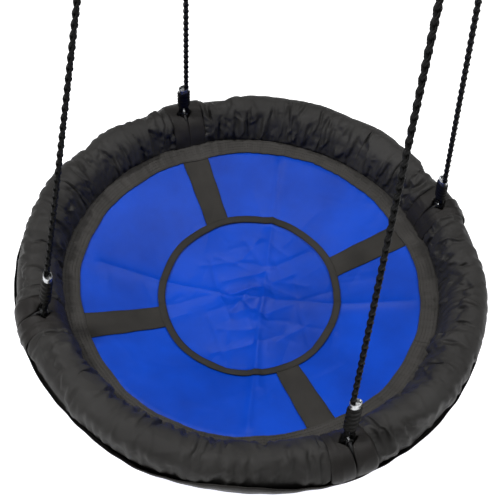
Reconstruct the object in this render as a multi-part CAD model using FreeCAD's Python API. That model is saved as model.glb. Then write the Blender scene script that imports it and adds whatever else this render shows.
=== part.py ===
import FreeCAD, Part
import math
import os

# Saucer nest swing: a padded round rim with a sewn deck, hung on four ropes.
# Millimetres. The origin is midway between the two points that carry the swing,
# where the carabiners bear on what they hang from. +X runs along the beam,
# +Y to the back and +Z up.

os.makedirs("parts", exist_ok=True)
V = FreeCAD.Vector
UP = V(0, 0, 1)

# ---- driving dimensions ----
OVERALL_DIA = 1016.0
COVER_R = 46.0
HANG_X = 189.0
HANG_DROP = 1500.0
ROPE_DIA = 12.0
TUBE_DIA = 32.0
TUBE_WALL = 1.5
BLUE_R = 377.0
BINDING_IN = 196.0
BINDING_OUT = 212.0
CENTRE_SAG = 58.0
SPOKE_IN_W = 50.0
SPOKE_OUT_W = 70.0
WRAP_W = 88.0
SLIT_W = 50.0

# ---- fabric and webbing ----
FABRIC_T = 1.2
WEB_T = 1.6
COVER_T = 2.0
HEM_IN = 374.0
HEM_OUT = 446.0
HEM_T = 2.2
CENTRE_DISH = 12.0
PANEL_UNDERLAP = 8.0
FOAM_PLAY = 2.8
FOAM_R = 37.0
LAY_GAP = 0.3

# ---- rope ends ----
ROD_R = 4.0
FRAME_RING_IN = 26.0
THIMBLE_WALL = 1.2
LOW_EYE_R = 5.5
TOP_EYE_R = 7.8
LEG_RISE = 20.0
LEG_TAIL = 30.0
CLAMP_ABOVE_EYE = 33.5
CLAMP_LEN = 72.0
CLAMP_W = 28.5
CLAMP_D = 19.0
CLAMP_RIBS = 5
ROPE_FIT = 0.15

# ---- top hardware ----
CARABINER_ROD = 5.0
CARABINER_HALF_W = 17.0
CARABINER_INSIDE = 64.0
RING_ROD = 5.0
RING_IN = 24.0
RING_PLAY = 0.6
TOP_EYE_SPREAD = 11.0
GATE_PIN_R = 1.5
GATE_PIN_Z = -44.0
GATE_NOSE_Z = -15.5
GATE_SHOULDER_Z = -51.5
GATE_R = 4.6
GATE_FOOT = 3.6
GATE_PIN_LEN = 8.4
TONGUE_W = 7.0
TONGUE_T = 4.0
FORK_PLAY = 0.4
SWAGE_LEN = 50.0
SWAGE_GAP = 0.1
NECK_LEN = 6.0
SCREW_INSET = 25.0
SCREW_R = 2.4
SCREW_LEN = 9.0
SCREW_HEAD_R = 4.6
SCREW_HEAD_H = 2.2
WRAP_T = 2.0
BAND_T = 1.2
BAND_FROM = -109.0
BAND_TO = -28.0
BAND_STEPS = 8
STRAP_DROP = 2.6
BINDING_DROP = 0.8
DISH_STEPS = 10
THIMBLE_LIP = 2.2
THIMBLE_LIP_T = 0.8
RIB_RAISE = 3.0
CLAMP_PLAIN_END = 14.0
CLAMP_FIRST_RIB = 2.0

RIM_R = OVERALL_DIA / 2 - COVER_R
TUBE_R = TUBE_DIA / 2
SWING_Z = -CARABINER_INSIDE - CARABINER_ROD
DECK_Z = SWING_Z - HANG_DROP
RIM_Z = DECK_Z + COVER_R
RING_CENTRE_Z = SWING_Z + CARABINER_ROD + RING_PLAY - RING_IN
ROPE_R = ROPE_DIA / 2
LEG_HALF = ROPE_R + ROPE_FIT

CORNERS = {"back_right": 45.0, "back_left": 135.0, "front_left": 225.0, "front_right": 315.0}
SIDES = {"left": -1.0, "right": 1.0}


def save(name, shape):
    """Write one node and say how big it is."""
    shape.exportStep("parts/%s.step" % name)
    print("%-28s %9.1f cm3  valid %s" % (name, shape.Volume / 1000, shape.isValid()))


def polar(radius, degrees, z):
    a = math.radians(degrees)
    return V(radius * math.cos(a), radius * math.sin(a), z)


def revolved(points, start, sweep):
    """Turn a closed outline of (radius, z) points about the swing's upright axis."""
    wire = Part.makePolygon([V(r, 0, z) for r, z in points + points[:1]])
    solid = Part.Face(wire).revolve(V(0, 0, 0), UP, sweep)
    solid.rotate(V(0, 0, 0), UP, start)
    return solid


def hoop(outer, inner, start, sweep, radius=RIM_R, z=RIM_Z):
    """An arc of round or tubular section lying in a level circle."""
    centre = V(radius, 0, z)
    face = Part.Face(Part.Wire(Part.makeCircle(outer, centre, V(0, 1, 0))))
    if inner:
        face = face.cut(Part.Face(Part.Wire(Part.makeCircle(inner, centre, V(0, 1, 0)))))
    solid = face.revolve(V(0, 0, 0), UP, sweep)
    solid.rotate(V(0, 0, 0), UP, start)
    return solid.Solids[0] if solid.Solids else solid


def arc_degrees(length, radius=RIM_R):
    return math.degrees(length / radius)


def rope_frame(corner):
    """Foot, direction and sideways vectors of one rope, at the rim and at the top."""
    degrees = CORNERS[corner]
    side = 1.0 if "right" in corner else -1.0
    back = 1.0 if "back" in corner else -1.0
    foot = polar(RIM_R, degrees, RIM_Z)
    spread = math.asin(TOP_EYE_SPREAD / (RING_IN + RING_ROD))
    ring_r = RING_IN + RING_ROD
    head = V(side * HANG_X, back * ring_r * math.sin(spread), RING_CENTRE_Z - ring_r * math.cos(spread))
    run = head - foot
    along = V(run).normalize()
    tangent = V(-math.sin(math.radians(degrees)), math.cos(math.radians(degrees)), 0)
    low_side = (tangent - along * tangent.dot(along)).normalize()
    across = V(-1 if low_side.x > 0 else 1, 0, 0)
    top_side = (across - along * across.dot(along)).normalize()
    return foot, head, along, low_side, top_side


# ---- rigid frame inside the rim ----

def frame_tubes():
    """Four bent tubes; each has a swaged end that plugs into the next one."""
    swage = arc_degrees(SWAGE_LEN)
    tubes = []
    for i in range(4):
        start = 90.0 * i
        tube = hoop(TUBE_R, TUBE_R - TUBE_WALL, start, 90.0 - arc_degrees(0.5))
        spigot_out = TUBE_R - TUBE_WALL - SWAGE_GAP
        spigot = hoop(spigot_out, spigot_out - TUBE_WALL, start - swage, swage + arc_degrees(NECK_LEN))
        neck = hoop(TUBE_R - TUBE_WALL / 2, spigot_out - TUBE_WALL, start, arc_degrees(NECK_LEN))
        tube = tube.fuse([spigot, neck]).removeSplitter()
        for joint in (start, start + 90.0):
            tube = tube.cut(joint_screw(joint, ROPE_FIT))
        tubes.append(tube)
    return tubes


def joint_screw(joint, grow=0.0):
    """The self-tapping screw that holds one tube joint, driven in from below."""
    degrees = joint - arc_degrees(SCREW_INSET)
    seat = RIM_Z - TUBE_R - 0.05
    shank = Part.makeCylinder(SCREW_R + grow, SCREW_LEN, polar(RIM_R, degrees, seat), UP)
    if grow:
        return shank
    head = Part.makeCylinder(SCREW_HEAD_R, SCREW_HEAD_H, polar(RIM_R, degrees, seat - SCREW_HEAD_H), UP)
    return shank.fuse(head).removeSplitter()


def foam_sleeve(middle):
    """Foam tube over the steel between two hangers."""
    sweep = 90.0 - 2 * arc_degrees(SLIT_W / 2 + 8)
    return hoop(FOAM_R, TUBE_R + FOAM_PLAY, middle - sweep / 2, sweep)


def rim_cover(middle):
    """Cloth tube over one foam sleeve, from hanger to hanger."""
    sweep = 90.0 - 2 * arc_degrees(SLIT_W / 2 + 4)
    return hoop(COVER_R, COVER_R - COVER_T, middle - sweep / 2, sweep)


def hanger_wrap(degrees):
    """Reinforced cloth collar over the rim at a rope, slit across the top for it."""
    width = arc_degrees(WRAP_W)
    inner = COVER_R + LAY_GAP
    collar = hoop(inner + WRAP_T, inner, degrees - width / 2, width)
    slit = Part.makeBox(2.6 * COVER_R, SLIT_W, 2 * COVER_R, V(-1.3 * COVER_R, -SLIT_W / 2, 0))
    slit.rotate(V(0, 0, 0), UP, degrees)
    slit.translate(polar(RIM_R, degrees, RIM_Z))
    return collar.cut(slit)


def base_band():
    """Lower cloth band of the rim, lapped over the outside of the cover."""
    inner = COVER_R + LAY_GAP
    outer = inner + BAND_T
    angles = [math.radians(BAND_FROM + (BAND_TO - BAND_FROM) * i / BAND_STEPS) for i in range(BAND_STEPS + 1)]
    ring = []
    for middle in (0.0, 90.0, 180.0, 270.0):
        sweep = 90.0 - arc_degrees(WRAP_W + 1.0)
        low = [(RIM_R + inner * math.cos(a), RIM_Z + inner * math.sin(a)) for a in angles]
        high = [(RIM_R + outer * math.cos(a), RIM_Z + outer * math.sin(a)) for a in angles]
        ring.append(revolved(low + high[::-1], middle - sweep / 2, sweep))
    return Part.makeCompound(ring)


# ---- sewn deck ----

def cone_z(radius):
    """Height of the deck's upper side, which falls evenly from hem to centre."""
    return DECK_Z - CENTRE_SAG * (BLUE_R - radius) / (BLUE_R - BINDING_IN)


def cone_sheet(inner, outer, lift, thick):
    return revolved(
        [(inner, cone_z(inner) + lift), (outer, cone_z(outer) + lift),
         (outer, cone_z(outer) + lift + thick), (inner, cone_z(inner) + lift + thick)], 0, 360)


def spoke_prism(degrees, trim):
    """Tapered upright prism with a spoke's outline, for cutting sheets."""
    half_in = SPOKE_IN_W / 2 - trim
    half_out = SPOKE_OUT_W / 2 - trim
    wire = Part.makePolygon([
        V(150, -half_in, 0), V(500, -half_out, 0), V(500, half_out, 0), V(150, half_in, 0), V(150, -half_in, 0)])
    prism = Part.Face(wire).extrude(V(0, 0, 400))
    prism.rotate(V(0, 0, 0), UP, degrees)
    prism.translate(V(0, 0, DECK_Z - 200))
    return prism


def seat_panel(middle):
    """One coloured quarter of the deck, its edges lying under the spokes."""
    drop = -FABRIC_T - LAY_GAP - STRAP_DROP
    sheet = cone_sheet(BINDING_IN + 6, HEM_IN + 3, drop, FABRIC_T)
    for side in (-45.0, 45.0):
        sheet = sheet.cut(spoke_prism(middle + side, PANEL_UNDERLAP))
    pieces = sorted(sheet.Solids, key=lambda s: (s.CenterOfMass - polar(300, middle, DECK_Z)).Length)
    return pieces[0]


def spoke_strap(degrees):
    """Webbing spoke on top of the deck, wider at the rim than at the centre."""
    return cone_sheet(BINDING_OUT - 4, HEM_IN - 1, -STRAP_DROP, WEB_T).common(spoke_prism(degrees, 0)).Solids[0]


def centre_panel():
    """Shallow dish of cloth inside the binding ring."""
    edge = BINDING_IN + 4
    top = cone_z(edge) - STRAP_DROP - FABRIC_T - LAY_GAP
    radius = (edge ** 2 + CENTRE_DISH ** 2) / (2 * CENTRE_DISH)
    ball_z = top - CENTRE_DISH + radius
    rings = [edge * i / DISH_STEPS for i in range(DISH_STEPS + 1)]
    under = [(r, ball_z - math.sqrt(radius ** 2 - r ** 2)) for r in rings]
    over = [(r, z + FABRIC_T) for r, z in under]
    return revolved(under + over[::-1], 0, 360)


def centre_binding():
    return cone_sheet(BINDING_IN, BINDING_OUT, -BINDING_DROP, WEB_T)


def hem_band():
    """Flat stitched hem that joins the deck to the rim cover."""
    return revolved(
        [(HEM_IN, DECK_Z - HEM_T - LAY_GAP), (HEM_OUT, DECK_Z - HEM_T - LAY_GAP),
         (HEM_OUT, DECK_Z - LAY_GAP), (HEM_IN, DECK_Z - LAY_GAP)], 0, 360)


# ---- ropes and their ends ----

def frame_ring(corner):
    """Welded ring round the frame tube, which a rope's thimble links into."""
    foot, _, along, low_side, _ = rope_frame(corner)
    centre = foot + along * (FRAME_RING_IN - TUBE_R - LAY_GAP)
    return Part.makeTorus(FRAME_RING_IN + ROD_R, ROD_R, centre, low_side)


def eye_points(centre, along, side, bend):
    """Route points of a rope round a thimble: three corners of equal turn."""
    corner = bend / math.cos(math.radians(30))
    return [centre + side * (corner * math.cos(math.radians(a))) - along * (corner * math.sin(math.radians(a)))
            for a in (30, 90, 150)]


def low_eye_centre(corner):
    foot, _, along, _, _ = rope_frame(corner)
    return foot + along * (2 * FRAME_RING_IN - TUBE_R - LAY_GAP + ROD_R)


def rope_route(corner):
    """Tail, lower eye, the long straight run, upper eye, tail."""
    foot, head, along, low_side, top_side = rope_frame(corner)
    low = low_eye_centre(corner)
    low_bend = LOW_EYE_R + THIMBLE_WALL + ROPE_R
    top_bend = TOP_EYE_R + THIMBLE_WALL + ROPE_R
    low_eye = eye_points(low, along, low_side, low_bend)
    top_eye = eye_points(head, along * -1, top_side, top_bend)
    low_tail = [low + along * (LEG_RISE + LEG_TAIL) + low_side * LEG_HALF,
                low + along * LEG_RISE + low_side * LEG_HALF]
    low_main = low + along * LEG_RISE - low_side * LEG_HALF
    top_main = head - along * LEG_RISE + top_side * LEG_HALF
    top_tail = [head - along * LEG_RISE - top_side * LEG_HALF,
                head - along * (LEG_RISE + LEG_TAIL) - top_side * LEG_HALF]
    return low_tail + low_eye + [low_main, top_main] + top_eye + top_tail


def rope(corner):
    """Plain round rope: straight runs joined by tangent arcs."""
    points = rope_route(corner)
    edges = []
    last = points[0]
    length = 0.0
    radii = []
    for before, here, after in zip(points, points[1:], points[2:]):
        back = (before - here).normalize()
        ahead = (after - here).normalize()
        turn = math.pi - back.getAngle(ahead)
        shorter = min((before - here).Length, (after - here).Length)
        reach = 0.499 * shorter if turn > math.radians(40) else 0.45 * shorter
        radius = reach / math.tan(turn / 2)
        start = here + back * reach
        end = here + ahead * reach
        middle = here + (back + ahead).normalize() * (radius * (1 / math.cos(turn / 2) - 1))
        if (start - last).Length > 0.02:
            edges.append(Part.LineSegment(last, start).toShape())
            length += (start - last).Length
        else:
            start = last
        edges.append(Part.Arc(start, middle, end).toShape())
        length += edges[-1].Length
        radii.append(round(radius))
        last = end
    edges.append(Part.LineSegment(last, points[-1]).toShape())
    length += edges[-1].Length
    path = Part.Wire(edges)
    profile = Part.Wire(Part.makeCircle(ROPE_R, points[0], points[1] - points[0]))
    solid = path.makePipeShell([profile], True, False)
    ratio = solid.Volume / (math.pi * ROPE_R ** 2 * length)
    print("rope %s: %.0f mm, arc radii %s, volume ratio %.3f" % (corner, length, radii, ratio))
    return solid.Solids[0] if solid.Solids else Part.Solid(solid)


def thimble(centre, along, side, inner):
    """Grooved steel liner in a rope eye: a horseshoe strip with raised lips."""
    axis = along.cross(side).normalize()
    half = ROPE_R + 0.2
    wall = Part.makeCylinder(inner + THIMBLE_WALL, 2 * half, centre - axis * half, axis)
    for sign in (-1, 1):
        foot = centre + axis * (sign * (half + 0.6) - THIMBLE_LIP_T / 2)
        lip = Part.makeCylinder(inner + THIMBLE_WALL + THIMBLE_LIP, THIMBLE_LIP_T, foot, axis)
        wall = wall.fuse(lip)
    spacer = Part.makeCylinder(inner + THIMBLE_WALL, 2 * half + 2, centre - axis * (half + 1), axis)
    wall = wall.fuse(spacer)
    wall = wall.cut(Part.makeCylinder(inner, 4 * half, centre - axis * 2 * half, axis))
    return wall.removeSplitter()


def clamp(origin, along, side):
    """Ribbed ferrule that grips the rope and its tail side by side."""
    axis = along.cross(side).normalize()
    place = FreeCAD.Matrix(side.x, axis.x, along.x, origin.x, side.y, axis.y, along.y, origin.y,
                           side.z, axis.z, along.z, origin.z, 0, 0, 0, 1)
    body = rounded_bar(CLAMP_W - RIB_RAISE, CLAMP_D - RIB_RAISE, 0, CLAMP_LEN)
    pitch = (CLAMP_LEN - CLAMP_PLAIN_END) / CLAMP_RIBS
    for i in range(CLAMP_RIBS):
        body = body.fuse(rounded_bar(CLAMP_W, CLAMP_D, CLAMP_FIRST_RIB + i * pitch, pitch - RIB_RAISE))
    body = body.cut(rounded_bar(4 * LEG_HALF, 2 * LEG_HALF, -2, CLAMP_LEN + 4)).removeSplitter()
    body.Placement = FreeCAD.Placement(place)
    return body


def rounded_bar(width, depth, bottom, height):
    """Upright bar whose cross-section is two half rounds joined by flats."""
    r = depth / 2
    flat = width / 2 - r
    bar = Part.makeBox(2 * flat, depth, height, V(-flat, -r, bottom))
    for x in (-flat, flat):
        bar = bar.fuse(Part.makeCylinder(r, height, V(x, 0, bottom), UP))
    return bar.removeSplitter()


# ---- top hardware ----

def hang_ring(side):
    """Welded ring that joins a pair of ropes and rides in a carabiner."""
    centre = V(SIDES[side] * HANG_X, 0, RING_CENTRE_Z)
    return Part.makeTorus(RING_IN + RING_ROD, RING_ROD, centre, V(1, 0, 0))


def carabiner(side):
    """Bent-rod hook with a tongue for its gate."""
    s = SIDES[side]
    w = CARABINER_HALF_W
    top = CARABINER_ROD - w
    bottom = SWING_Z + w
    mid = HANG_X * s
    path = Part.Wire([
        Part.LineSegment(V(mid + s * w, 0, GATE_NOSE_Z), V(mid + s * w, 0, top)).toShape(),
        Part.Arc(V(mid + s * w, 0, top), V(mid, 0, CARABINER_ROD), V(mid - s * w, 0, top)).toShape(),
        Part.LineSegment(V(mid - s * w, 0, top), V(mid - s * w, 0, bottom)).toShape(),
        Part.Arc(V(mid - s * w, 0, bottom), V(mid, 0, SWING_Z), V(mid + s * w, 0, bottom)).toShape(),
        Part.LineSegment(V(mid + s * w, 0, bottom), V(mid + s * w, 0, GATE_SHOULDER_Z)).toShape()])
    profile = Part.Wire(Part.makeCircle(CARABINER_ROD, V(mid + s * w, 0, GATE_NOSE_Z), UP))
    hook = path.makePipeShell([profile], True, False)
    corner = V(mid + s * w - TONGUE_W / 2, -TONGUE_T / 2, GATE_SHOULDER_Z - 1)
    tongue = Part.makeBox(TONGUE_W, TONGUE_T, GATE_PIN_Z - GATE_SHOULDER_Z + 1, corner)
    boss = V(mid + s * w, -TONGUE_T / 2, GATE_PIN_Z)
    tongue = tongue.fuse(Part.makeCylinder(TONGUE_W / 2, TONGUE_T, boss, V(0, 1, 0)))
    hole = Part.makeCylinder(GATE_PIN_R, 12, V(mid + s * w, -6, GATE_PIN_Z), V(0, 1, 0))
    return hook.fuse(tongue).removeSplitter().cut(hole)


def gate(side):
    """Sprung closing bar, forked at its foot and pinned to the tongue."""
    s = SIDES[side]
    x = s * (HANG_X + CARABINER_HALF_W)
    foot = GATE_PIN_Z - GATE_FOOT
    bar = Part.makeCylinder(GATE_R, GATE_NOSE_Z - 0.9 - foot, V(x, 0, foot), UP)
    slot = TONGUE_T + 2 * FORK_PLAY
    fork = Part.makeBox(3 * GATE_R, slot, 9.2, V(x - 1.5 * GATE_R, -slot / 2, foot - 1))
    hole = Part.makeCylinder(GATE_PIN_R + 0.05, 12, V(x, -6, GATE_PIN_Z), V(0, 1, 0))
    return bar.cut(fork).cut(hole)


def gate_pins():
    ends = [V(s * (HANG_X + CARABINER_HALF_W), -GATE_PIN_LEN / 2, GATE_PIN_Z) for s in SIDES.values()]
    return Part.makeCompound([Part.makeCylinder(GATE_PIN_R, GATE_PIN_LEN, end, V(0, 1, 0)) for end in ends])


# ---- export ----

for i, tube in enumerate(frame_tubes()):
    save("frame_tube_%d" % (i + 1), tube)
save("frame_screws", Part.makeCompound([joint_screw(90.0 * i) for i in range(4)]))
for i in range(4):
    save("foam_sleeve_%d" % (i + 1), foam_sleeve(90.0 * i))
    save("rim_cover_%d" % (i + 1), rim_cover(90.0 * i))
    save("seat_panel_%d" % (i + 1), seat_panel(90.0 * i))
save("rim_base_band", base_band())
save("centre_panel", centre_panel())
save("centre_binding", centre_binding())
save("hem_band", hem_band())
for corner, degrees in CORNERS.items():
    foot, head, along, low_side, top_side = rope_frame(corner)
    low = low_eye_centre(corner)
    save("hanger_wrap_" + corner, hanger_wrap(degrees))
    save("spoke_strap_" + corner, spoke_strap(degrees))
    save("frame_ring_" + corner, frame_ring(corner))
    save("rope_" + corner, rope(corner))
    save("lower_thimble_" + corner, thimble(low, along, low_side, LOW_EYE_R))
    save("lower_clamp_" + corner, clamp(low + along * CLAMP_ABOVE_EYE, along, low_side))
    save("upper_thimble_" + corner, thimble(head, along, top_side, TOP_EYE_R))
    save("upper_clamp_" + corner, clamp(head - along * CLAMP_ABOVE_EYE, along * -1, top_side))
for side in SIDES:
    save("hang_ring_" + side, hang_ring(side))
    save("carabiner_" + side, carabiner(side))
    save("gate_" + side, gate(side))
save("gate_pins", gate_pins())
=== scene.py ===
# %% [markdown]
# # A saucer nest swing
# The swing is a padded round rim with a cloth deck sewn inside it, hung on four braided ropes.
# The rigid design is already made: tubes, foam, rings, hooks and every joint. This lesson loads it
# as a fixed frame and builds what a plain solid can't show: cloth, webbing, rope and ribbed clamps.

# %% Load the frame
import math
import bpy
import numpy as np
from mathutils import Matrix, Vector


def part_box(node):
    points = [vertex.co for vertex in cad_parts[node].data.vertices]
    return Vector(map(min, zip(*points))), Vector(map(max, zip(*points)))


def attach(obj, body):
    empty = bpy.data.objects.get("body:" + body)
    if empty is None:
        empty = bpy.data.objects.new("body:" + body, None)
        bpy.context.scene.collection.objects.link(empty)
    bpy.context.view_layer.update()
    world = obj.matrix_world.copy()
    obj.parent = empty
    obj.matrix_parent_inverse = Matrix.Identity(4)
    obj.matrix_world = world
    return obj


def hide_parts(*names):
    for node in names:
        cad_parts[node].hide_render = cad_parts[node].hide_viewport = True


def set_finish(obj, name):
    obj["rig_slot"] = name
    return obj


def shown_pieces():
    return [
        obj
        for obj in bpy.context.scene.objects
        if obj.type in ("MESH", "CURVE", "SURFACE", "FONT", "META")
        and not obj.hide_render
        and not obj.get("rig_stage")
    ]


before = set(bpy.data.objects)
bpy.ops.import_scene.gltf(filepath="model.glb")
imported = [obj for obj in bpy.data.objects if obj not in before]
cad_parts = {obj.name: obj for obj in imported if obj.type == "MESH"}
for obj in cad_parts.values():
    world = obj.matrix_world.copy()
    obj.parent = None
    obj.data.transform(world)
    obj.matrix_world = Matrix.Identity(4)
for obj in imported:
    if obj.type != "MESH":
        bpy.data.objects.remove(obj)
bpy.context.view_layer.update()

bpy.ops.object.select_all(action="DESELECT")

# %% [markdown]
# ## Sizes that everything shares
# The frame already holds the sizes, so they are read from its boxes: the rim from its cover, the
# deck's level from the cover's lowest point, and the points where a rope pulls from its rings.

# %% Shared sizes
MM = 0.001
rim_low, rim_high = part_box("rim_cover_1")
COVER_R = (rim_high.z - rim_low.z) / 2
RIM_R = rim_high.x - COVER_R
RIM_Z = (rim_high.z + rim_low.z) / 2
DECK_Z = RIM_Z - COVER_R
BINDING_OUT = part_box("centre_binding")[1].x
BINDING_IN = BINDING_OUT - 16 * MM
BLUE_R = 377 * MM
CENTRE_SAG = 58 * MM
CENTRE_DISH = 12 * MM
CORNERS = {"back_right": 45, "back_left": 135, "front_left": 225, "front_right": 315}
print("rim radius %.3f, section %.3f, deck level %.3f" % (RIM_R, COVER_R, DECK_Z))

# %% [markdown]
# ## Small helpers
# Colours are written as sRGB hex values, the way a paint chart gives them, and shaders want linear
# light, so one function converts them. One more adds a node to a material with its settings and
# links, and one starts a new material.

# %% Colour and node helpers
def linear(hex_colour):
    """An sRGB hex colour as the linear light that a shader takes."""
    parts = [int(hex_colour[i:i + 2], 16) / 255 for i in (1, 3, 5)]
    return [c / 12.92 if c <= 0.04045 else ((c + 0.055) / 1.055) ** 2.4 for c in parts] + [1.0]


def add_node(tree, kind, inputs=(), **settings):
    """Add one node; inputs holds (socket, value or output socket) pairs."""
    node = tree.nodes.new(kind)
    for name, value in settings.items():
        setattr(node, name, value)
    for socket, value in inputs:
        if isinstance(value, bpy.types.NodeSocket):
            tree.links.new(value, node.inputs[socket])
        else:
            node.inputs[socket].default_value = value
    return node


def new_material(name, roughness, metallic=0.0, **sockets):
    """A material with its Principled shader set; returns the material, its tree and the shader."""
    material = bpy.data.materials.new(name)
    material.use_nodes = True
    tree = material.node_tree
    shader = tree.nodes["Principled BSDF"]
    shader.inputs["Roughness"].default_value = roughness
    shader.inputs["Metallic"].default_value = metallic
    for socket, value in sockets.items():
        shader.inputs[socket.replace("_", " ")].default_value = value
    return material, tree, shader


def colour_ramp(tree, factor, stops):
    """A colour ramp from (place, colour) stops."""
    ramp = add_node(tree, "ShaderNodeValToRGB", [("Fac", factor)])
    elements = ramp.color_ramp.elements
    while len(elements) < len(stops):
        elements.new(0.5)
    for element, (place, colour) in zip(elements, stops):
        element.position = place
        element.color = colour
    return ramp.outputs["Color"]


# %% [markdown]
# ## The camera
# The eye is a little in front of the swing and high up, looking down at about 53 degrees, with the
# camera tipped by 6.5 degrees. The lens is 60.6 mm on a 36 mm sensor.

# %% Camera
EYE = Vector((0.3255, -1.0344, DECK_Z + 1.5198))
camera_data = bpy.data.cameras.new("camera")
camera_data.sensor_width = 36
camera_data.lens = 60.6
camera = bpy.data.objects.new("camera", camera_data)
bpy.context.collection.objects.link(camera)
turn = Matrix.Rotation(math.radians(18.05), 4, "Z")
tilt = Matrix.Rotation(math.radians(90 - 52.67), 4, "X")
roll = Matrix.Rotation(math.radians(6.54), 4, "Z")
camera.matrix_world = Matrix.Translation(EYE) @ turn @ tilt @ roll
bpy.context.scene.camera = camera
print("camera at", tuple(round(c, 3) for c in EYE))

# %% [markdown]
# ## Floor and light
# A swing like this hangs about half a metre above the ground. The floor is a wide pale plane. Two
# near panels, one high on the right and one low on the left, rake the cloth so that its folds show,
# and two wide faint ones in front and behind fill the shadows.

# %% Floor and light
FLOOR_Z = DECK_Z - 0.55
bpy.ops.mesh.primitive_plane_add(size=14, location=(0, 0, FLOOR_Z))
floor = bpy.context.object
floor.name = "floor"
floor_paint, _, floor_shader = new_material("matt_white_floor_paint", 0.9)
floor_shader.inputs["Base Color"].default_value = linear("#f4f4f4")
floor_shader.inputs["Emission Color"].default_value = (1, 1, 1, 1)
floor_shader.inputs["Emission Strength"].default_value = 0.95
floor.data.materials.append(floor_paint)
floor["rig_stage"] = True


def area_light(name, place, aim, size, power):
    """A square soft panel of light at a place, turned to its aim."""
    data = bpy.data.lights.new(name, "AREA")
    data.size = size
    data.energy = power
    light = bpy.data.objects.new(name, data)
    light.location = place
    light.rotation_euler = (Vector(aim) - Vector(place)).to_track_quat("-Z", "Y").to_euler()
    bpy.context.collection.objects.link(light)


area_light("overhead_panel", (1.2, 0.6, 0.95), (0.15, 0, 0), 0.6, 36)
area_light("key_panel", (-1.1, -0.6, 0.5), (0, 0, 0), 0.35, 46)
area_light("front_panel", (-0.8, -2.6, 1.0), (0, 0, 0), 2.2, 10)
area_light("back_panel", (-0.3, 2.2, 1.5), (0, -0.4, 0), 1.4, 16)
world = bpy.data.worlds.new("pale_studio")
world.use_nodes = True
world.node_tree.nodes["Background"].inputs["Color"].default_value = (1, 1, 1, 1)
world.node_tree.nodes["Background"].inputs["Strength"].default_value = 0.14
bpy.context.scene.world = world
bpy.context.scene.view_settings.view_transform = "Standard"
print("floor at", round(FLOOR_Z, 3))

# %% [markdown]
# ## The ropes' routes
# Each rope starts inside its lower clamp, goes down round the lower thimble, back up through the
# clamp, straight to the upper clamp and round the upper thimble. Three corner points of equal turn
# bend the rope round a thimble, and the smooth curve touches the middle of each run between them.

# %% Rope routes
ROPE_R = 6 * MM
LEG_HALF = ROPE_R + 0.15 * MM
LEG_RISE = 20 * MM
LEG_TAIL = 30 * MM
LOW_BEND = 5.5 * MM + 1.2 * MM + ROPE_R
TOP_BEND = 7.8 * MM + 1.2 * MM + ROPE_R
EYE_ABOVE_TUBE = 39.7 * MM
RING_DROP = 29 * MM * math.cos(math.asin(11 / 29))


def rope_ends(corner):
    """Foot on the tube's centre line, head on the upper ring, and the vectors along and sideways."""
    angle = math.radians(CORNERS[corner])
    side = 1 if "right" in corner else -1
    back = 1 if "back" in corner else -1
    foot = Vector((RIM_R * math.cos(angle), RIM_R * math.sin(angle), RIM_Z))
    ring_low, ring_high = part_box("hang_ring_right")
    ring_z = (ring_low.z + ring_high.z) / 2
    head = Vector((side * (ring_low.x + ring_high.x) / 2, back * 11 * MM, ring_z - RING_DROP))
    along = (head - foot).normalized()
    tangent = Vector((-math.sin(angle), math.cos(angle), 0))
    low_side = (tangent - along * tangent.dot(along)).normalized()
    across = Vector((-1 if low_side.x > 0 else 1, 0, 0))
    top_side = (across - along * across.dot(along)).normalized()
    return foot, head, along, low_side, top_side


def eye_points(centre, along, side, bend):
    """The three corner points that take the rope half round a thimble."""
    corner = bend / math.cos(math.radians(30))
    turns = [math.radians(a) for a in (30, 90, 150)]
    return [centre + side * (corner * math.cos(a)) - along * (corner * math.sin(a)) for a in turns]


def rope_route(corner):
    """The rope's corner points, from its short leg at the lower eye to its short leg at the upper."""
    foot, head, along, low_side, top_side = rope_ends(corner)
    low = foot + along * EYE_ABOVE_TUBE
    low_main = low + along * LEG_RISE - low_side * LEG_HALF
    top_main = head - along * LEG_RISE + top_side * LEG_HALF
    straight = (top_main - low_main).normalized() * (6 * 2 * ROPE_R)
    return ([low + along * (LEG_RISE + LEG_TAIL) + low_side * LEG_HALF,
             low + along * LEG_RISE + low_side * LEG_HALF]
            + eye_points(low, along, low_side, LOW_BEND)
            + [low_main, low_main + straight, top_main - straight, top_main]
            + eye_points(head, -along, top_side, TOP_BEND)
            + [head - along * LEG_RISE - top_side * LEG_HALF,
               head - along * (LEG_RISE + LEG_TAIL) - top_side * LEG_HALF])


def spline_points(name, route, step):
    """Points a step apart on the smooth curve that has the route as its control points."""
    curve = bpy.data.curves.new(name, "CURVE")
    curve.dimensions = "3D"
    curve.resolution_u = 24
    spline = curve.splines.new("NURBS")
    spline.points.add(len(route) - 1)
    for point, place in zip(spline.points, route):
        point.co = (*place, 1)
    spline.order_u = 3
    spline.use_endpoint_u = True
    holder = bpy.data.objects.new(name, curve)
    line = bpy.data.meshes.new_from_object(holder)
    dense = np.array([v.co for v in line.vertices])
    gone = np.concatenate([[0], np.cumsum(np.linalg.norm(np.diff(dense, axis=0), axis=1))])
    count = int(gone[-1] / step) + 1
    even = np.linspace(0, gone[-1], count)
    bpy.data.objects.remove(holder)
    bpy.data.meshes.remove(line)
    return np.stack([np.interp(even, gone, dense[:, k]) for k in range(3)], 1), gone[-1]


# %% [markdown]
# ## Braiding a rope
# The rope is a coarse four-strand plait: two strands wind one way and two the other, and each passes
# over and under the strands it meets, which makes the knobbly outline. Every strand is a flattened
# tube that follows the route, with its distance from the middle rising and falling so that crossings
# alternate. A dark core fills the middle, so no light comes through between strands.

# %% Braided rope meshes
BRAID_PITCH = 38 * MM
STRAND_STEP = BRAID_PITCH / 20
STRAND_SIDES = 8
STRAND_FROM_MIDDLE, STRAND_WEAVE = 3.3 * MM, 0.8 * MM
STRAND_HALF_WIDE, STRAND_HALF_THICK = 2.9 * MM, 2.1 * MM
CORE_R = 2.6 * MM


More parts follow.
